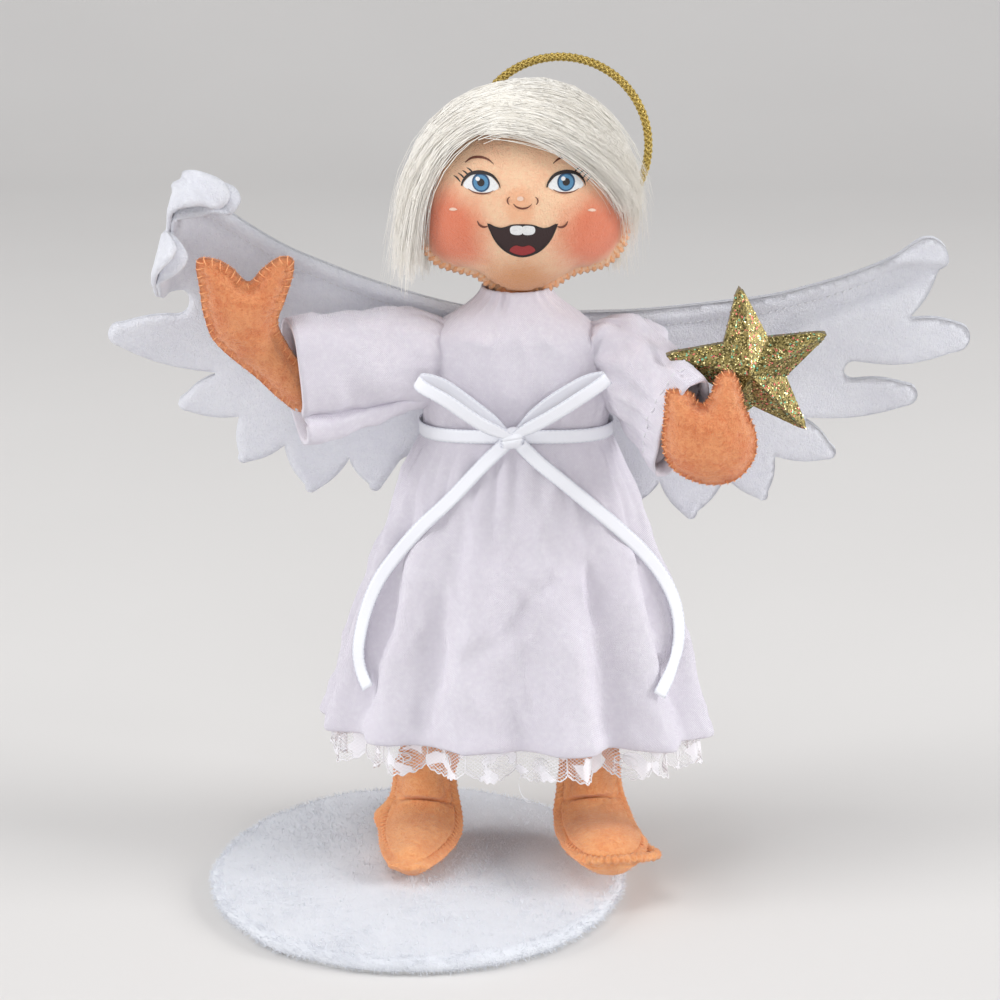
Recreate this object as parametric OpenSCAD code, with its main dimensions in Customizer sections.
// Felt angel doll on a round base, in millimetres.
// +Z is up and the doll faces -Y; the origin is the middle of the base's underside.
// Right and left are the doll's own.

/* [Base] */
// Diameter of the round base
base_d = 94; // [84:1:120]
// Thickness of the felt under the base
sole_t = 1; // [0.6:0.1:2]
// Thickness of the stiff board
board_t = 2; // [1.5:0.1:4]
// Thickness of the fleece over the board
fleece_t = 1.8; // [1:0.1:3]

/* [Felt, wire and gaps] */
// Thickness of the felt skins
felt_t = 1.2; // [0.8:0.1:1.6]
// Diameter of the armature wire
wire_d = 1.4; // [1:0.1:2]
// Gap between pieces that move past each other
gap = 0.35; // [0.3:0.05:0.6]
// Gap between a skin and its stuffing
ease = 0.15; // [0.1:0.05:0.3]

/* [Stance] */
// Sideways distance from the base's middle to the body's middle
body_x = 23; // [10:1:28]
// Distance back from the base's middle to the body's middle
body_y = 15; // [8:1:20]
// Distance between the two ankles
ankle_spread = 39; // [34:1:46]
// Distance between the two hips
hip_spread = 18; // [16.5:0.5:22]
// Height that the left foot is lifted off the base
foot_lift = 2.6; // [2:0.1:6]
// Upward turn of the left foot's toes
toe_turn = 3; // [0:0.5:8]

/* [Legs] */
// Height from ankle to hip
leg_h = 52; // [46:1:60]
// Radius of the leg at the ankle
ankle_r = 6.4; // [5.5:0.1:7]
// Radius of the leg at the thigh
thigh_r = 7.4; // [6.5:0.1:8]
// Width of the sewn edge down each side of a leg
seam_w = 1.6; // [1:0.1:2.2]
// Height of the foot under the ankle
heel_h = 8.4; // [7:0.1:10]
// Length of the foot in front of the ankle
foot_l = 25; // [22:0.5:27]
// Width of the foot at the toes
foot_w = 19; // [16:0.5:22]

/* [Torso and neck] */
// Height from the hips to the waist
waist_h = 33; // [31:1:38]
// Height from the waist to the shoulder bend
shoulder_h = 16; // [14.5:0.5:19]
// Height from the shoulder bend to the bend of the neck
neck_h = 10; // [9:0.5:13]
// Width of the stuffed torso
torso_w = 21; // [17:0.5:22.5]
// Depth of the stuffed torso
torso_d = 19; // [15:0.5:20]
// Radius of the neck
neck_r = 4.6; // [4:0.1:5]

/* [Dress] */
// Thickness of the cloth
cloth_t = 0.7; // [0.5:0.05:1]
// Width of the bodice at the shoulders
bodice_w = 26; // [25:0.5:30]
// Depth of the bodice
bodice_d = 21; // [20.5:0.5:24]
// Width of the gathered waist
waist_w = 43; // [38:1:48]
// Depth of the gathered waist
waist_d = 22; // [21.5:0.5:24]
// Width of the skirt at the hem
hem_w = 91; // [84:1:100]
// Depth of the skirt at the hem
hem_d = 48; // [46:1:54]
// Length of the skirt from waist to hem
skirt_l = 75; // [68:1:77]
// Number of soft folds round the skirt
fold_count = 9; // [5:1:12]
// Depth of the folds at the hem
fold_depth = 1.4; // [0.4:0.1:2]
// Height of lace that shows under the hem
lace_show = 7; // [4:0.5:8]
// Number of scallops round the lace
scallop_count = 18; // [10:1:24]

/* [Sleeves and arms] */
// Radius of the rounded sleeve end at the shoulder
shoulder_r = 11; // [10:0.25:12]
// Height of the right cuff
cuff_right_h = 27; // [24:0.5:30]
// Height of the left cuff
cuff_left_h = 26; // [24:0.5:28]
// Depth of both cuffs
cuff_d = 17; // [16:0.5:20]
// Length of the right sleeve from the shoulder bend
sleeve_right_l = 26; // [24:0.5:26.5]
// Length of the left sleeve from the shoulder bend
sleeve_left_l = 15; // [13:0.5:16]
// Length of the upper arm from shoulder bend to elbow
arm_l = 28; // [27:0.5:31]
// Radius of the stuffed arm
arm_r = 4.4; // [3.8:0.1:4.8]
// Drop of the right arm below level
arm_right_drop = 20; // [16:1:22]
// Drop of the right sleeve below level
sleeve_right_drop = 5; // [3:1:8]
// Turn of the right arm towards the front
arm_right_turn = 18; // [14:1:22]
// Drop of the left arm below level
arm_left_drop = 29; // [27:1:32]
// Turn of the left arm towards the front
arm_left_turn = 56; // [54:1:58]

/* [Hands and star] */
// Length of the right forearm and hand
hand_right_l = 35; // [33:0.5:38]
// Width of the right hand across its two lobes
hand_right_w = 20; // [17:0.5:23]
// Thickness of the hands
hand_t = 9; // [8:0.25:10]
// Depth of the notch between fingers and thumb
hand_notch = 5; // [3:0.25:6.5]
// Width of the left hand
hand_left_w = 21; // [18:0.5:23]
// Height of the left hand
hand_left_h = 27; // [24:0.5:28]
// Distance across the star's points
star_d = 37; // [32:0.5:40]
// Thickness of the star at its middle
star_t = 8; // [6:0.25:9]

/* [Head and hair] */
// Width of the head
head_w = 48; // [44:0.5:50]
// Height of the head
head_h = 40; // [36:0.5:43]
// Depth of the head
head_d = 34; // [30:0.5:37]
// Height of the chin above the bend of the neck
chin_h = 6; // [5.5:0.25:8]
// Thickness of the hair
hair_t = 4; // [3:0.25:5]

/* [Halo] */
// Diameter of the halo along the middle of its cord
halo_d = 41; // [36:0.5:44]
// Thickness of the gold cord
cord_d = 2.2; // [1.8:0.1:2.6]
// Sideways distance from the head's middle to the halo's middle
halo_shift = 8; // [4:0.5:10]

/* [Wings] */
// Reach of a wing from the body's middle
wing_l = 101; // [94:1:108]
// Height of a wing at its root
wing_h = 42; // [38:1:46]
// Thickness of one felt layer of a wing
wing_t = 1.3; // [1.1:0.05:1.6]
// Lean of the wings away from the skirt
wing_lean = 9; // [8:0.5:12]
// Lift of the left wing
wing_left_lift = 2.5; // [0:0.5:5]
// Lift of the right wing
wing_right_lift = 10; // [5:1:12]
// Extra rise of the right wing's upper edge at its tip
wing_right_rise = 13; // [6:1:15]
// Inner radius of the right wing's curled end
curl_r = 7; // [5:0.5:9]
// Angle of the right wing's curled end
curl_angle = 110; // [60:5:130]

/* [Ribbon] */
// Width of the satin ribbon
ribbon_w = 3.2; // [2.6:0.1:4]
// Thickness of the ribbon
ribbon_t = 0.5; // [0.4:0.05:0.7]
// Spread of the bow's two loops
bow_w = 43; // [36:1:48]
// Length of the ribbon tails below the knot
tail_l = 54; // [46:1:60]

/* [Hidden] */
$fn = 48;
wire_r = wire_d / 2;
wire_bore = wire_r + 0.1;
wire_corner = wire_r + 0.06;
base_r = base_d / 2;
board_top = sole_t + board_t;
base_top = board_top + fleece_t;

// Ankles and hips
ankle_z = base_top + heel_h + gap + ankle_r;
stance_x = body_x - 2;
ankle_right = [stance_x - ankle_spread / 2, body_y - 2, ankle_z];
ankle_left = [stance_x + ankle_spread / 2, body_y - 2, ankle_z + foot_lift];
hip_z = ankle_z + foot_lift + leg_h;
hip_right = [body_x - hip_spread / 2, body_y, hip_z];
hip_left = [body_x + hip_spread / 2, body_y, hip_z];
torso_bottom = hip_z + thigh_r + gap;

// Waist, shoulders and neck
waist_z = hip_z + waist_h;
shoulder_z = waist_z + shoulder_h;
neck_z = shoulder_z + neck_h;
spine_y = body_y + wire_d + 0.1;
neck_pivot = [body_x, spine_y, neck_z];
torso_top = neck_z - wire_d;
torso_deep = min(torso_d, min(bodice_d, waist_d) - 2 * (cloth_t + gap));
shoulder_out = bodice_w / 2 + gap + shoulder_r;
shoulder_right = [body_x - shoulder_out, body_y, shoulder_z];
shoulder_left = [body_x + shoulder_out, body_y, shoulder_z];
collar_z = neck_z + 3;
collar_r = neck_r + 3;

// Elbows and hands
elbow_right = shoulder_right + arm_l * heading(180 + arm_right_turn, -arm_right_drop);
elbow_left = shoulder_left + arm_l * heading(-arm_left_turn, -arm_left_drop);
hand_left_mid = elbow_left + [4, -3, 4];
hand_left_back = hand_left_mid[1] + hand_t / 2;
arm_left_l = (shoulder_left[1] - hand_left_back - gap - arm_r) / (sin(arm_left_turn) * cos(arm_left_drop));
arm_right_l = arm_l - arm_r - gap;
star_mid = [hand_left_mid[0] + 8, hand_left_back + gap + star_t / 2 - 1.9, hand_left_mid[2] + 12.5];

// Head
head_mid = [body_x + 2, spine_y - 2, neck_z + chin_h + head_h / 2];
halo_y = head_mid[1] + head_d / 2 * 1.05 + hair_t + cord_d / 2 + gap + 1;
halo_mid = [head_mid[0] + halo_shift, halo_y, head_mid[2] + 8];

// Skirt
hem_z = waist_z - skirt_l;
lace_top = hem_z + 12;
lace_z = hem_z - lace_show;

// Wings
wing_z = shoulder_z - 3;
wing_y = body_y + waist_d / 2 + cloth_t + ribbon_t + gap + 3.5;
tab_w = 6;
tab_h = 19;

// Number of points round the lofted pieces
limb_n = 16;
body_n = 24;
head_n = 28;
skirt_n = 72;

// Directions, blends and rings of points

function heading(turn, lift) = [cos(lift) * cos(turn), cos(lift) * sin(turn), sin(lift)];
function mix(a, b, t) = a + (b - a) * t;
function smooth(t) = t * t * (3 - 2 * t);
function flip(list) = [for (i = [len(list) - 1:-1:0]) list[i]];
function oval(c, a, b, n) = [for (i = [0:n - 1]) c + [a * cos(360 * i / n), b * sin(360 * i / n), 0]];
function ovals(table, grow, n) = [for (t = table) oval([t[0], t[1], t[2]], t[3] + grow, t[4] + grow, n)];
function bezier(a, b, c, t) = (1 - t) * (1 - t) * a + 2 * t * (1 - t) * b + t * t * c;

// A closed curve through the given points
function spline_at(p, i, t) =
    let (n = len(p), a = p[(i + n - 1) % n], b = p[i], c = p[(i + 1) % n], d = p[(i + 2) % n])
    0.5 * (2 * b + (c - a) * t + (2 * a - 5 * b + 4 * c - d) * t * t + (3 * b - a - 3 * c + d) * t * t * t);
function spline(p, n) =
    [for (k = [0:n - 1]) let (s = k * len(p) / n, i = floor(s)) spline_at(p, i, s - i)];

// Skin over a stack of rings. Each ring runs anticlockwise about the first one's outward axis.
function wall_faces(m, n) = [
    for (j = [0:m - 2]) for (i = [0:n - 1])
        let (a = j * n + i, b = j * n + (i + 1) % n, c = b + n, d = a + n)
        each [[a, d, c], [a, c, b]]
];
function loop_faces(m, n) = [
    for (j = [0:m - 1]) for (i = [0:n - 1])
        let (k = (j + 1) % m, a = j * n + i, b = j * n + (i + 1) % n, c = k * n + (i + 1) % n, d = k * n + i)
        each [[a, d, c], [a, c, b]]
];
function oval_cap(o, n) = concat(
    [[o, o + 1, o + n - 1]],
    [for (k = [1:n / 2 - 2]) each [[o + k, o + k + 1, o + n - k], [o + k + 1, o + n - k - 1, o + n - k]]],
    [[o + n / 2 - 1, o + n / 2, o + n / 2 + 1]]
);
function strip_cap(o, n) =
    [for (k = [0:n / 2 - 2]) each [[o + k, o + k + 1, o + n - 1 - k], [o + k + 1, o + n - 2 - k, o + n - 1 - k]]];
function turned(faces) = [for (f = faces) [f[2], f[1], f[0]]];

module loft(rings) {
    n = len(rings[0]);
    m = len(rings);
    caps = concat(oval_cap(0, n), turned(oval_cap((m - 1) * n, n)));
    polyhedron([for (r = rings) each r], concat(wall_faces(m, n), caps), convexity = 6);
}

module strip_loft(rings) {
    n = len(rings[0]);
    m = len(rings);
    caps = concat(strip_cap(0, n), turned(strip_cap((m - 1) * n, n)));
    polyhedron([for (r = rings) each r], concat(wall_faces(m, n), caps), convexity = 6);
}

module tube_loft(outer, inner) {
    rings = concat(outer, flip(inner));
    n = len(rings[0]);
    polyhedron([for (r = rings) each r], loop_faces(len(rings), n), convexity = 6);
}

module sock_loft(outer, inner) {
    loft(concat(flip(inner), outer));
}

// Turns local +Z to the given direction; local X stays in the upright plane
module aim(from, dir) {
    translate(from)
        rotate([0, acos(dir[2] / norm(dir)), atan2(dir[1], dir[0])])
            children();
}

module wire_between(a, b, r) {
    aim(a, b - a)
        cylinder(h = norm(b - a), r = r);
}

// Round bend of the wire at a joint, lying along the joint's axis
module wire_bend(at, axis, r) {
    aim(at, axis)
        cylinder(h = 2 * r, r = r, center = true);
}

// Base

module base_sole() {
    color("white")
        cylinder(h = sole_t, r = base_r - 0.6);
}

module board_hole(r) {
    translate([ankle_right[0], ankle_right[1], 0])
        cylinder(h = base_top + 1, r = r);
}

module base_board() {
    color("tan")
        difference() {
            translate([0, 0, sole_t])
                cylinder(h = board_t, r = base_r - fleece_t - 0.1);
            board_hole(wire_bore);
        }
}

module base_fleece() {
    rim = fleece_t;
    color("white")
        difference() {
            translate([0, 0, sole_t])
                rotate_extrude($fn = 96)
                    union() {
                        square([base_r - rim, board_t + fleece_t]);
                        square([base_r, board_t + fleece_t - rim]);
                        translate([base_r - rim, board_t + fleece_t - rim])
                            circle(r = rim);
                    }
            translate([0, 0, sole_t - 1])
                cylinder(h = board_t + 1, r = base_r - fleece_t);
            board_hole(wire_bore);
        }
}

// Feet, made about the ankle bend with the toes towards -Y

foot_table = [
    [0, 6.8, -0.50, 3.2, 2.0],
    [0, 4.5, -0.50, 6.2, 3.9],
    [0, 0, -0.50, 7.0, 4.1],
    [0, -6, -0.38, 7.6, 5.2],
    [-0.4, -12, -0.36, 8.6, 5.3],
    [-0.8, -18, -0.42, 9.5, 4.6],
    [-0.6, -22.5, -0.50, 7.4, 3.2],
    [-0.4, -24, -0.52, 3.5, 1.7]
];
foot_mid = -ankle_r - gap;

function foot_rings(cut) = [
    for (f = foot_table)
        let (
            h = max(0.3, f[4] * heel_h / 8.4 - cut),
            w = max(0.5, f[3] * foot_w / 19 - cut),
            y = f[1] > 0 ? f[1] : f[1] * foot_l / 24
        )
        [for (i = [0:limb_n - 1])
            [
                f[0] + w * cos(360 * i / limb_n),
                y * (1 - cut / 14),
                foot_mid + f[2] * heel_h + h * sin(360 * i / limb_n)
            ]]
];

module foot_felt() {
    difference() {
        sock_loft(foot_rings(0), foot_rings(felt_t));
        translate([0, 0, foot_mid - heel_h - 1])
            cylinder(h = heel_h + 2, r = wire_bore);
    }
}

module foot_stuffing() {
    difference() {
        loft(foot_rings(felt_t + ease));
        translate([0, 0, foot_mid - heel_h - 1])
            cylinder(h = heel_h + 2, r = wire_bore);
    }
}

module left_foot_place() {
    translate(ankle_left)
        rotate([-toe_turn, 0, 6])
            children();
}

module foot_right_felt() {
    color("sandybrown")
        translate(ankle_right)
            rotate([0, 0, -8])
                foot_felt();
}

module foot_right_stuffing() {
    color("linen")
        translate(ankle_right)
            rotate([0, 0, -8])
                foot_stuffing();
}

module foot_right_wire() {
    low = [ankle_right[0], ankle_right[1], sole_t];
    high = ankle_right - [0, 0, wire_d];
    color("silver")
        wire_between(low, high, wire_r);
}

module foot_left_felt() {
    color("sandybrown")
        left_foot_place()
            foot_felt();
}

module foot_left_stuffing() {
    color("linen")
        left_foot_place()
            foot_stuffing();
}

module foot_left_wire() {
    color("silver")
        left_foot_place()
            translate([0, 0, foot_mid - heel_h + felt_t + 2])
                cylinder(h = heel_h - felt_t - 2 - foot_mid - wire_d, r = wire_r);
}

// Legs, made from the ankle bend up

module leg_felt(low, high) {
    length = norm(high - low);
    color("sandybrown")
        aim(low, high - low)
            difference() {
                union() {
                    sphere(r = ankle_r);
                    cylinder(h = length, r1 = ankle_r, r2 = thigh_r);
                    translate([-ankle_r - seam_w, -felt_t, ankle_r])
                        cube([2 * ankle_r + 2 * seam_w, 2 * felt_t, length - 2 * ankle_r]);
                }
                translate([0, 0, -0.01])
                    cylinder(h = length + 0.02, r1 = ankle_r - felt_t, r2 = thigh_r - felt_t);
                translate([0, 0, -ankle_r - 1])
                    cylinder(h = ankle_r + 2, r = ankle_r * 0.45 + wire_r);
            }
}

module leg_stuffing(low, high) {
    length = norm(high - low);
    cut = felt_t + ease;
    color("linen")
        aim(low, high - low)
            difference() {
                translate([0, 0, 2])
                    cylinder(h = length - 2 - 2 * thigh_r / 3, r1 = ankle_r - cut, r2 = thigh_r - cut - 0.2);
                cylinder(h = length, r = wire_bore);
            }
}

module leg_right_felt() {
    leg_felt(ankle_right, hip_right);
}

module leg_right_stuffing() {
    leg_stuffing(ankle_right, hip_right);
}

crossbar_z = torso_bottom + 4;
right_top = [body_x - hip_spread * 0.3, body_y, crossbar_z];
left_top = [body_x + hip_spread * 0.3, body_y, crossbar_z];

module leg_wire() {
    color("silver")
        union() {
            wire_bend(ankle_right, [0, 1, 0], wire_r);
            wire_between(ankle_right, hip_right, wire_r);
            translate(hip_right)
                sphere(r = wire_corner);
            wire_between(hip_right, right_top, wire_r);
            translate(right_top)
                sphere(r = wire_corner);
            wire_between(right_top, left_top, wire_r);
            translate(left_top)
                sphere(r = wire_corner);
            wire_between(left_top, hip_left, wire_r);
            wire_bend(hip_left, [1, 0, 0], wire_r);
        }
}

module leg_left_felt() {
    leg_felt(ankle_left, hip_left);
}

module leg_left_stuffing() {
    leg_stuffing(ankle_left, hip_left);
}

module leg_left_wire() {
    along = (hip_left - ankle_left) / norm(hip_left - ankle_left);
    color("silver")
        union() {
            wire_bend(ankle_left, [1, 0, 0], wire_r);
            wire_between(ankle_left, hip_left - along * (wire_d + 0.1), wire_r);
        }
}

// Torso, neck and the wires inside them

function torso_rings(cut, low, high) = [
    for (t = [0:0.125:1])
        let (
            z = mix(low, high, t),
            shoulder = smooth(min(1, max(0, (t - 0.72) / 0.28))),
            w = mix(torso_w / 2 * (1 - 0.12 * sin(180 * min(1, t / 0.8))), neck_r + 1.4, shoulder),
            d = mix(torso_deep / 2 * (1 - 0.08 * sin(180 * min(1, t / 0.8))), neck_r + 1.4, shoulder)
        )
        oval([body_x, mix(body_y, spine_y, shoulder), z], w - cut, d - cut, body_n)
];

module torso_felt() {
    color("sandybrown")
        difference() {
            tube_loft(torso_rings(0, torso_bottom, torso_top), torso_rings(felt_t, torso_bottom, torso_top));
            wire_between(shoulder_right, shoulder_left, wire_bore);
        }
}

module torso_stuffing() {
    low = torso_bottom + ease;
    high = torso_top - ease;
    color("linen")
        difference() {
            loft(torso_rings(felt_t + ease, low, high));
            wire_between([body_x, spine_y, low - 1], [body_x, spine_y, high + 1], wire_bore);
            wire_between(shoulder_right, shoulder_left, wire_bore);
            translate([body_x - torso_w, body_y - wire_bore, low - 1])
                cube([2 * torso_w, 2 * wire_bore, crossbar_z - low + 1 + wire_bore]);
        }
}

module spine_wire() {
    low = [body_x, spine_y, crossbar_z];
    color("silver")
        union() {
            wire_between(low, neck_pivot, wire_r);
            wire_bend(neck_pivot, [1, 0, 0], wire_r);
        }
}

module shoulder_wire() {
    color("silver")
        union() {
            wire_between(shoulder_right, shoulder_left, wire_r);
            wire_bend(shoulder_right, [0, 1, 0], wire_r);
            wire_bend(shoulder_left, [0, 1, 0], wire_r);
        }
}

neck_low = torso_top + gap + 1;
head_bottom = head_mid[2] - head_h / 2;

module neck_felt() {
    color("sandybrown")
        translate([body_x, spine_y, neck_low])
            difference() {
                cylinder(h = head_bottom - neck_low - gap, r = neck_r);
                translate([0, 0, -1])
                    cylinder(h = wire_d * 2 + 1, r = neck_r - felt_t);
                cylinder(h = head_h, r = wire_bore);
            }
}

module neck_wire() {
    color("silver")
        wire_between(neck_pivot + [0, 0, wire_d], neck_pivot + [0, 0, chin_h + head_h / 2], wire_r);
}

// Head: two felt panels over the stuffing, from one outline

head_half = [[0, -1], [0.5, -0.92], [0.86, -0.66], [1, -0.27], [0.95, 0.3], [0.64, 0.82], [0, 1.02]];
head_points = concat(
    head_half,
    [for (i = [len(head_half) - 2:-1:1]) [-head_half[i][0], head_half[i][1]]]
);
head_outline = spline(head_points, head_n);

bulges = [0, 18, 36, 54, 70, 82];

// Ring of the head's outline, shrunk by the bulge angle and set forward (-1) or back (1)
function head_ring(side, bulge, grow, depth) = [
    for (p = head_outline)
        head_mid + [
            p[0] * (head_w / 2 + grow) * cos(bulge),
            side * depth * sin(bulge),
            p[1] * (head_h / 2 + grow) * cos(bulge)
        ]
];
function head_rings(side, grow) = [
    for (b = bulges)
        let (ring = head_ring(side, b, grow, head_d / 2 + grow))
        side < 0 ? ring : flip(ring)
];

module head_panel(side) {
    sock_loft(head_rings(side, 0), head_rings(side, -felt_t));
}

bore_run = head_h / 8;

module neck_bore() {
    translate([body_x, spine_y, head_bottom - bore_run])
        cylinder(h = head_h / 2 + 1.2 * bore_run, r = wire_bore);
}

module head_front_felt() {
    color("sandybrown")
        difference() {
            head_panel(-1);
            neck_bore();
        }
}

module head_back_felt() {
    color("sandybrown")
        difference() {
            head_panel(1);
            neck_bore();
        }
}

module head_stuffing() {
    cut = -felt_t - ease;
    back = head_rings(1, cut);
    front = [for (r = head_rings(-1, cut)) flip(r)];
    rings = concat([for (i = [len(front) - 1:-1:1]) front[i]], back);
    color("linen")
        difference() {
            loft(rings);
            neck_bore();
        }
}

// Hair: a cap over the back of the head, thin at the nape, and a fringe over the forehead
hair_ease = 0.25;

function hair_ring(bulge) = [
    for (p = head_outline)
        let (grow = mix(hair_ease + 0.4, hair_t, smooth(min(1, max(0, (p[1] + 0.85) / 0.6)))))
        head_mid + [
            p[0] * (head_w / 2 + grow) * cos(bulge),
            (head_d / 2 + hair_t) * sin(bulge),
            p[1] * (head_h / 2 + grow) * cos(bulge)
        ]
];

module hair_back() {
    inner = head_rings(1, hair_ease);
    outer = [for (b = bulges) flip(hair_ring(b))];
    color("ivory")
        difference() {
            sock_loft(outer, inner);
            translate([body_x, spine_y, head_bottom - bore_run])
                cylinder(h = 2 * bore_run, r = neck_r + gap);
            halo_leg(-1, wire_bore);
            halo_leg(1, wire_bore);
        }
}

fringe_low = -0.1;
fringe_arc = [for (i = [0:head_n - 1]) if (head_outline[i][1] > fringe_low) i];

function fringe_ring(bulge) =
    let (
        out = head_ring(-1, bulge, hair_t, head_d / 2 + hair_t),
        in = head_ring(-1, bulge, hair_ease, head_d / 2 + hair_ease)
    )
    concat([for (i = fringe_arc) out[i]], [for (k = [len(fringe_arc) - 1:-1:0]) in[fringe_arc[k]]]);

module hair_fringe() {
    color("ivory")
        strip_loft([for (b = [0.6, 14, 28, 42]) fringe_ring(b)]);
}

// Halo: a loop of gold cord on a wire, its two ends turned in to the back of the head

halo_open = 70;
halo_r = halo_d / 2;
halo_end = [halo_r * sin(halo_open / 2), 0, -halo_r * cos(halo_open / 2)];

module halo_arc(inner, outer) {
    translate(halo_mid)
        rotate([90, 0, 0])
            rotate([0, 0, -90 + halo_open / 2])
                rotate_extrude(angle = 360 - halo_open, $fn = 96)
                    translate([halo_r, 0])
                        difference() {
                            circle(r = outer, $fn = 24);
                            circle(r = inner, $fn = 24);
                        }
}

module halo_cord() {
    color("goldenrod")
        halo_arc(cord_d / 2 - 0.6, cord_d / 2);
}

module halo_wire() {
    color("silver")
        translate(halo_mid)
            rotate([90, 0, 0])
                rotate([0, 0, -90 + halo_open / 2])
                    rotate_extrude(angle = 360 - halo_open, $fn = 96)
                        translate([halo_r, 0])
                            circle(r = cord_d / 2 - 0.65, $fn = 24);
}

// How far the hair stands out behind a point of the head
function hair_back_y(dx, dz) =
    let (out = [dx / (head_w / 2 + hair_t), dz / (head_h / 2 + hair_t)])
    (head_d / 2 + hair_t) * sqrt(max(0.05, 1 - out * out));

module halo_leg(side, r) {
    at = halo_mid + [side * halo_end[0], 0, halo_end[2]];
    near = head_mid[1] + hair_back_y(at[0] - head_mid[0], at[2] - head_mid[2]) - hair_t / 2;
    wire_between([at[0], near, at[2]], [at[0], halo_y - cord_d / 2 - gap, at[2]], r);
}

module halo_stitches() {
    color("goldenrod") {
        halo_leg(-1, wire_r);
        halo_leg(1, wire_r);
    }
}

// Dress

function bodice_rings(grow) = [
    for (t = [0, 0.07, 0.14, 0.28, 0.42, 0.56, 0.7, 0.8, 0.9, 1])
        let (
            z = mix(waist_z + ribbon_w / 2 + 0.4, collar_z, t),
            chest = min(1, t / 0.14),
            shoulder = smooth(min(1, max(0, (t - 0.66) / 0.34))),
            w = mix(mix(waist_w / 2, bodice_w / 2, chest), collar_r, shoulder),
            d = mix(bodice_d / 2, collar_r, shoulder),
            y = mix(body_y, spine_y, shoulder)
        )
        oval([body_x, y, z], w + grow, d + grow, body_n)
];

module bodice() {
    color("lavenderblush")
        difference() {
            tube_loft(bodice_rings(0), bodice_rings(-cloth_t));
            wire_between(shoulder_right, shoulder_left, wire_r + 1.2);
        }
}

function skirt_ring(t, grow) =
    let (
        spread = pow(t, 0.85),
        w = mix(waist_w, hem_w, spread) / 2 + grow,
        d = mix(waist_d, hem_d, spread) / 2 + grow,
        z = mix(waist_z - ribbon_w / 2 - 0.4, hem_z, t)
    )
    [for (i = [0:skirt_n - 1])
        let (a = 360 * i / skirt_n, ripple = fold_depth * t * cos(fold_count * a))
        [body_x + (w + ripple) * cos(a), body_y + (d + ripple) * sin(a), z]];

module skirt() {
    steps = [1, 0.8, 0.6, 0.4, 0.2, 0.06, 0];
    color("lavenderblush")
        tube_loft([for (t = steps) skirt_ring(t, 0)], [for (t = steps) skirt_ring(t, -cloth_t)]);
}

function lace_ring(t, grow) =
    let (
        z = mix(lace_top, lace_z, t),
        round = skirt_ring((waist_z - z) / skirt_l, grow - cloth_t - gap - 0.7)
    )
    [for (i = [0:skirt_n - 1])
        let (
            a = 360 * i / skirt_n,
            scallop = 1.6 * t * abs(cos(scallop_count * a / 2)),
            ripple = 0.35 * t * cos(scallop_count * a)
        )
        [round[i][0] + ripple * cos(a), round[i][1] + ripple * sin(a), z + scallop]];

module skirt_lace() {
    steps = [1, 0.6, 0.3, 0];
    color("white")
        tube_loft([for (t = steps) lace_ring(t, 0)], [for (t = steps) lace_ring(t, -0.6)]);
}

// Ribbon: sash, knot, loops and tails

module sash_ribbon() {
    low = waist_z - ribbon_w / 2;
    high = waist_z + ribbon_w / 2;
    w = waist_w / 2 + 0.4;
    d = waist_d / 2 + 0.4;
    outer = [for (z = [low, high]) oval([body_x, body_y, z], w + ribbon_t, d + ribbon_t, 48)];
    inner = [for (z = [low, high]) oval([body_x, body_y, z], w, d, 48)];
    color("white")
        tube_loft(outer, inner);
}

knot_y = body_y - waist_d / 2 - 0.4 - ribbon_t - gap;
knot_r = 2.2;

module bow_knot() {
    color("white")
        translate([body_x - 1, knot_y - knot_r, waist_z + 1])
            sphere(r = knot_r);
}

// Ribbon swept along a path of points in a plane facing the viewer, bent forward by the given amounts
module ribbon(path, wide) {
    n = len(path);
    rings = [
        for (i = [0:n - 1])
            let (
                a = path[max(0, i - 1)],
                b = path[min(n - 1, i + 1)],
                along = (b - a) / norm(b - a),
                side = cross(along, [0, -1, 0]),
                across = side / norm(side) * wide / 2,
                thick = [0, ribbon_t / 2, 0]
            )
            [path[i] + across - thick, path[i] + across + thick, path[i] - across + thick, path[i] - across - thick]
    ];
    strip_loft([for (r = rings) flip(r)]);
}

function loop_path(side, front) = [
    for (t = [0:0.125:1])
        let (p = bezier([0, 0, 0], [side * 0.2, 0, 0.34], [side * 0.5, 0, 0.28], t))
        [
            body_x - 1 + side * (knot_r + ribbon_w * 0.62) + p[0] * (bow_w - 3 * knot_r),
            knot_y - knot_r - front,
            waist_z + 1.5 + p[2] * bow_w
        ]
];

module bow_loops() {
    color("white")
        for (side = [-1, 1]) {
            ribbon(loop_path(side, 0), ribbon_w * 1.5);
            ribbon(loop_path(side, ribbon_t + 0.2), ribbon_w * 1.5);
        }
}

function skirt_front(dx, z) =
    let (
        t = min(1, max(0, (waist_z - z) / skirt_l)),
        w = mix(waist_w, hem_w, pow(t, 0.85)) / 2,
        d = mix(waist_d, hem_d, pow(t, 0.85)) / 2 + fold_depth * t
    )
    body_y - d * sqrt(max(0.04, 1 - dx * dx / (w * w))) - ribbon_t - gap - 1;

function tail_path(side, length) = [
    for (t = [0:0.1:1])
        let (
            z = waist_z - 1.5 - length * pow(t, 0.9),
            dx = side * (1.2 + waist_w * 0.77 * sin(90 * pow(t, 0.75)))
        )
        [body_x - 1 + dx, min(knot_y - knot_r * 0.4, skirt_front(dx - 1, z)), z]
];

module bow_tails() {
    color("white") {
        ribbon(tail_path(-1, tail_l - 6), ribbon_w);
        ribbon(tail_path(1, tail_l), ribbon_w);
    }
}

// Sleeves: rounded at the shoulder bend, open at the cuff

armhole_h = shoulder_r * 0.42 + wire_r + gap;
armhole_w = wire_r + gap;

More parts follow.
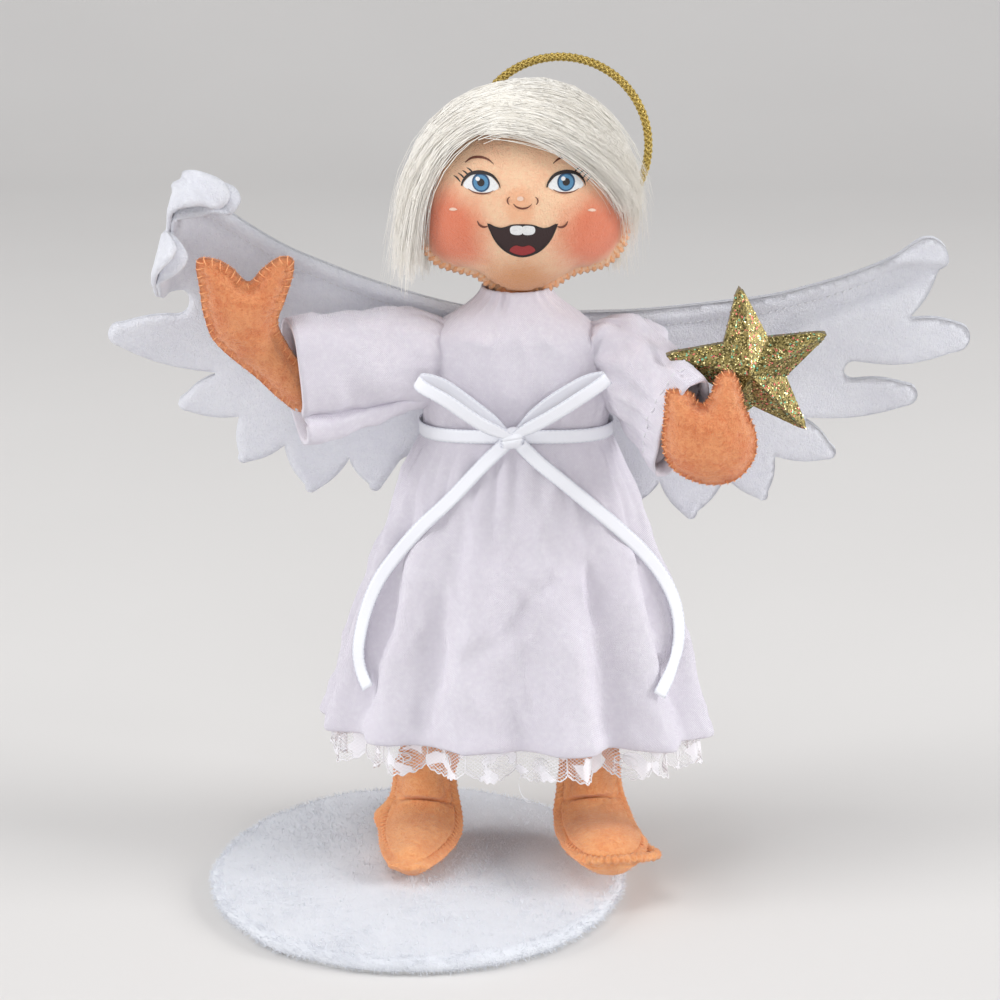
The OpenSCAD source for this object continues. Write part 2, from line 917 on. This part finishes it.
function sleeve_rings(length, cuff_h, cut) = concat(
    [for (a = [14, 40, 66, 90])
        let (r = (shoulder_r - cut) * sin(a))
        oval([0, 0, -(shoulder_r - cut) * cos(a)], r, r, body_n)],
    [for (t = [0.25, 0.5, 0.75, 1])
        oval([0, 0, length * t], mix(shoulder_r, cuff_h / 2, sqrt(t)) - cut, mix(shoulder_r, cuff_d / 2, t) - cut, body_n)]
);

module sleeve(at, dir, length, cuff_h, body_side) {
    color("lavenderblush")
        difference() {
            aim(at, dir)
                tube_loft(sleeve_rings(length, cuff_h, 0), sleeve_rings(length, cuff_h, cloth_t));
            translate(at + [body_side > 0 ? 0 : -2 * shoulder_r, -armhole_w, -armhole_h])
                cube([2 * shoulder_r, 2 * armhole_w, 2 * armhole_h]);
        }
}

module sleeve_right() {
    sleeve(shoulder_right, heading(180 + arm_right_turn, -sleeve_right_drop), sleeve_right_l, cuff_right_h, 1);
}

module sleeve_left() {
    sleeve(shoulder_left, heading(-arm_left_turn, -arm_left_drop), sleeve_left_l, cuff_left_h, -1);
}

// Upper arms inside the sleeves

module arm_felt(at, to, length) {
    color("sandybrown")
        aim(at, to - at)
            translate([0, 0, 1])
                difference() {
                    cylinder(h = length - 1, r = arm_r);
                    translate([0, 0, -1])
                        cylinder(h = length + 1, r = arm_r - felt_t);
                }
}

module arm_stuffing(at, to, length) {
    color("linen")
        aim(at, to - at)
            translate([0, 0, wire_d + 1])
                difference() {
                    cylinder(h = length - wire_d - 2, r = arm_r - felt_t - ease);
                    translate([0, 0, -1])
                        cylinder(h = length, r = wire_bore);
                }
}

module arm_wire(at, to, axis) {
    along = (to - at) / norm(to - at);
    color("silver")
        union() {
            wire_between(at + along * (wire_d + 0.1), to, wire_r);
            wire_bend(to, axis, wire_r);
        }
}

module arm_right_felt() {
    arm_felt(shoulder_right, elbow_right, arm_right_l);
}

module arm_right_stuffing() {
    arm_stuffing(shoulder_right, elbow_right, arm_right_l);
}

module arm_right_wire() {
    arm_wire(shoulder_right, elbow_right, [0, 1, 0]);
}

module arm_left_felt() {
    arm_felt(shoulder_left, elbow_left, arm_left_l);
}

module arm_left_stuffing() {
    arm_stuffing(shoulder_left, elbow_left, arm_left_l);
}

module arm_left_wire() {
    reach = hand_left_back + gap + wire_r;
    share = (shoulder_left[1] - reach) / (shoulder_left[1] - elbow_left[1]);
    bend = mix(shoulder_left, elbow_left, share);
    union() {
        arm_wire(shoulder_left, bend, [0, 1, 0]);
        color("silver")
            wire_between(bend, bend - [0, 2 * wire_r, 0], wire_r);
    }
}

// Right forearm and hand: a felt sock along a curved line, ending in two lobes

hand_bend = [-11.5, -5, 13];
hand_end = [-12.5, -7, hand_right_l];

function hand_line(t) = bezier([0, 0, 0], hand_bend, hand_end, t);
function hand_rings(cut) = [
    for (t = [0.1, 0.22, 0.36, 0.5, 0.64, 0.78, 0.9, 1])
        let (
            near = min(t, 0.999),
            along = hand_line(min(near + 0.01, 1)) - hand_line(near - 0.01),
            up = along / norm(along),
            side = cross([0, 1, 0], up),
            w = mix(arm_r, hand_right_w / 2, smooth(min(1, t / 0.75))) - cut,
            h = mix(arm_r, hand_t / 2, smooth(min(1, t * 2))) * (t < 0.8 ? 1 : mix(1, 0.42, (t - 0.8) / 0.2)) - cut * 0.9,
            notch = hand_notch * pow(max(0, (t - 0.5) / 0.5), 2),
            tip = t > 0.95 ? cut : 0
        )
        [for (i = [0:limb_n - 1])
            let (c = cos(360 * i / limb_n), s = sin(360 * i / limb_n))
            hand_line(t) + side * w * c + [0, 1, 0] * h * s - up * (notch * (1 - pow(abs(c), 1.5)) + tip)]
];

module hand_right_felt() {
    color("sandybrown")
        translate(elbow_right)
            sock_loft(hand_rings(0), hand_rings(felt_t));
}

module hand_right_stuffing() {
    color("linen")
        translate(elbow_right)
            difference() {
                loft(hand_rings(felt_t + 3 * ease));
                wire_between([0, 0, 0], hand_line(0.6) * 1.05, wire_bore);
            }
}

module hand_right_wire() {
    along = hand_line(0.6) / norm(hand_line(0.6));
    color("silver")
        translate(elbow_right)
            wire_between(along * (wire_d + 0.1), hand_line(0.6), wire_r);
}

// Left hand: two felt panels over the stuffing, notched at the top

palm_points = [
    [0, -0.92], [0.56, -0.74], [0.92, -0.3], [1, 0.2], [0.86, 0.62], [0.56, 1.06], [0.26, 0.92],
    [0.06, 0.62], [-0.22, 0.62], [-0.5, 0.82], [-0.82, 0.62], [-1, 0.16], [-0.92, -0.32], [-0.56, -0.74]
];
palm_outline = spline(palm_points, head_n);

function palm_rings(side, cut) = [
    for (b = [0, 24, 48, 70, 84])
        let (
            ring = [for (p = palm_outline)
                hand_left_mid + [
                    p[0] * (hand_left_w / 2 - cut) * cos(b),
                    side * (hand_t / 2 - cut) * sin(b),
                    p[1] * (hand_left_h / 2 - cut) * cos(b)
                ]]
        )
        side < 0 ? ring : flip(ring)
];

module palm_bore() {
    back = [hand_left_mid[0] - 2, hand_left_back + 1, hand_left_mid[2] - 3];
    wire_between(back, back - [0, hand_t / 2 + 1, 0], wire_bore);
}

module hand_left_felt() {
    color("sandybrown")
        difference() {
            union() {
                sock_loft(palm_rings(-1, 0), palm_rings(-1, felt_t));
                sock_loft(palm_rings(1, 0), palm_rings(1, felt_t));
            }
            palm_bore();
        }
}

module hand_left_stuffing() {
    cut = felt_t + ease;
    front = [for (r = palm_rings(-1, cut)) flip(r)];
    rings = concat([for (i = [len(front) - 1:-1:1]) front[i]], palm_rings(1, cut));
    color("linen")
        difference() {
            loft(rings);
            palm_bore();
        }
}

module hand_left_wire() {
    back = [hand_left_mid[0] - 2, hand_left_back + 0.5, hand_left_mid[2] - 3];
    color("silver")
        wire_between(back, back - [0, hand_t / 2, 0], wire_r);
}

// Star: two faceted halves

function star_point(i) = let (r = star_d / 2 * (i % 2 == 0 ? 1 : 0.46)) [r * cos(36 * i + 93), r * sin(36 * i + 93)];

module star_half(side) {
    rim = 0.8;
    ring = [for (i = [0:9]) [star_point(i)[0], 0, star_point(i)[1]]];
    points = concat(ring, [for (p = ring) p + [0, side * rim, 0]], [[0, side * star_t / 2, 0], [0, 0, 0]]);
    outward = concat(
        [for (i = [0:9]) let (k = (i + 1) % 10) [i, i + 10, k + 10]],
        [for (i = [0:9]) let (k = (i + 1) % 10) [i, k + 10, k]],
        [for (i = [0:9]) [i + 10, 20, (i + 1) % 10 + 10]],
        [for (i = [0:9]) [(i + 1) % 10, 21, i]]
    );
    color("gold")
        translate(star_mid)
            polyhedron(points, side < 0 ? outward : turned(outward), convexity = 4);
}

module star_front() {
    star_half(-1);
}

module star_back() {
    star_half(1);
}

// Wings: an outline of feather lobes from the root to the tip, cut twice from felt

// Each feather lobe: middle of its round end, radius and direction, as shares of the wing's size
feathers = [
    [0.887, 0.976, 0.047, 30],
    [0.962, 0.19, 0.041, -3],
    [0.854, -0.524, 0.035, -5],
    [0.67, -1.07, 0.035, -22],
    [0.533, -1.57, 0.028, -55],
    [0.387, -1.76, 0.03, -70],
    [0.24, -1.62, 0.03, -80]
];
notches = [[0.851, 0.43], [0.724, -0.19], [0.618, -0.833], [0.55, -1.25], [0.48, -1.46], [0.314, -1.45]];
top_edge = [[0, 0.52], [0.239, 0.548], [0.406, 0.619], [0.538, 0.69], [0.693, 0.857], [0.806, 1.03]];
low_edge = [[0.18, -1.4], [0.07, -1.1], [0, -0.6]];
casing_line = [[0.03, 0.43], [0.406, 0.52], [0.68, 0.73]];

function on_wing(p) = [p[0] * wing_l, p[1] * wing_h / 2];
function feather_end(f) =
    [for (a = [90:-30:-90]) on_wing(f) + f[2] * wing_l * [cos(f[3] + a), sin(f[3] + a)]];
function wing_outline(rise) = lifted(concat(
    [for (p = top_edge) on_wing(p)],
    [for (i = [0:len(feathers) - 1])
        each concat(feather_end(feathers[i]), i < len(notches) ? [on_wing(notches[i])] : [])],
    [for (p = low_edge) on_wing(p)]
), rise);
function rise_at(x, y, rise) = rise * pow(x / wing_l, 2) * min(1, max(0, (y + 0.2 * wing_h) / (0.5 * wing_h)));
function lifted(points, rise) = [for (p = points) [p[0], p[1] + rise_at(p[0], p[1], rise)]];

// Local frame of a wing: x sideways, y up, z forward; the y axis is the hinge
module wing_place(side, lift) {
    translate([body_x + side * (tab_w / 2 + gap + wing_t), wing_y, wing_z])
        rotate([90 + wing_lean, 0, 0])
            difference() {
                rotate([0, 0, side * lift])
                    children();
                translate([side > 0 ? -wing_h : 0, -2 * wing_h, -wing_h])
                    cube([wing_h, 4 * wing_h, 2 * wing_h]);
            }
}

module casing(side, rise, r) {
    p = [for (q = lifted([for (c = casing_line) on_wing(c)], rise)) [side * q[0], q[1], 0]];
    union() {
        wire_between(p[0], p[1], r);
        translate(p[1])
            sphere(r = r + casing_bead);
        wire_between(p[1], p[2], r);
    }
}

module wing_layer(side, rise, front) {
    difference() {
        translate([0, 0, front ? 0.02 : -wing_t - 0.02])
            linear_extrude(height = wing_t)
                polygon([for (p = wing_outline(rise)) [side * p[0], p[1]]]);
        casing(side, rise, casing_r + 0.1);
    }
}

casing_r = 0.5;
casing_bead = 0.15;

module wing_left_front() {
    color("white")
        wing_place(1, wing_left_lift)
            wing_layer(1, 0, true);
}

module wing_left_back() {
    color("white")
        wing_place(1, wing_left_lift)
            wing_layer(1, 0, false);
}

module wing_left_wire() {
    color("silver")
        wing_place(1, wing_left_lift)
            casing(1, 0, casing_r);
}

// The right wing is flat as far as its curl; its two upper lobes then bend forward round an upright line
curl_x = 0.71 * wing_l;
curl_low = -0.16 * wing_h / 2;
curl_high = 0.86 * wing_h / 2 + rise_at(curl_x, wing_h, wing_right_rise);
curl_mid = mix(curl_low, curl_high, 0.5);

module curled_lobe(front, low, high, angle) {
    radius = curl_r + (front ? 0 : wing_t + 0.04);
    translate([-curl_x, low, curl_r + wing_t + 0.02])
        rotate([-90, 0, 0])
            rotate([0, 0, 90])
                rotate_extrude(angle = angle)
                    translate([radius, 0])
                        square([wing_t, high - low]);
}

module wing_right_layer(front) {
    union() {
        difference() {
            wing_layer(-1, wing_right_rise, front);
            translate([-curl_x - wing_l, curl_low, -5])
                cube([wing_l, 2 * wing_h, 10]);
        }
        curled_lobe(front, curl_low, curl_mid - 0.5, curl_angle);
        curled_lobe(front, curl_mid + 0.5, curl_high, curl_angle + 25);
    }
}

module wing_right_front() {
    color("white")
        wing_place(-1, wing_right_lift)
            wing_right_layer(true);
}

module wing_right_back() {
    color("white")
        wing_place(-1, wing_right_lift)
            wing_right_layer(false);
}

module wing_right_wire() {
    color("silver")
        wing_place(-1, wing_right_lift)
            casing(-1, wing_right_rise, casing_r);
}

module wing_tab() {
    front = body_y + bodice_d / 2 + 0.05;
    low = waist_z + ribbon_w / 2 + 3;
    wide = tab_w + 2 * wing_t - 0.2;
    color("white")
        union() {
            translate([body_x - tab_w / 2, front, low])
                cube([tab_w, wing_y + wing_t - front, tab_h]);
            translate([body_x - wide / 2, front, wing_z])
                cube([wide, wing_y - wing_t - gap - front, low + tab_h - wing_z]);
        }
}

base_sole();
base_board();
base_fleece();
foot_right_felt();
foot_right_stuffing();
foot_right_wire();
leg_right_felt();
leg_right_stuffing();
leg_wire();
torso_felt();
torso_stuffing();
spine_wire();
shoulder_wire();
leg_left_felt();
leg_left_stuffing();
leg_left_wire();
foot_left_felt();
foot_left_stuffing();
foot_left_wire();
bodice();
skirt();
skirt_lace();
sash_ribbon();
bow_knot();
bow_loops();
bow_tails();
arm_right_felt();
arm_right_stuffing();
arm_right_wire();
sleeve_right();
hand_right_felt();
hand_right_stuffing();
hand_right_wire();
arm_left_felt();
arm_left_stuffing();
arm_left_wire();
sleeve_left();
hand_left_felt();
hand_left_stuffing();
hand_left_wire();
star_front();
star_back();
neck_felt();
neck_wire();
head_front_felt();
head_back_felt();
head_stuffing();
hair_back();
hair_fringe();
halo_cord();
halo_wire();
halo_stitches();
wing_tab();
wing_right_front();
wing_right_back();
wing_right_wire();
wing_left_front();
wing_left_back();
wing_left_wire();
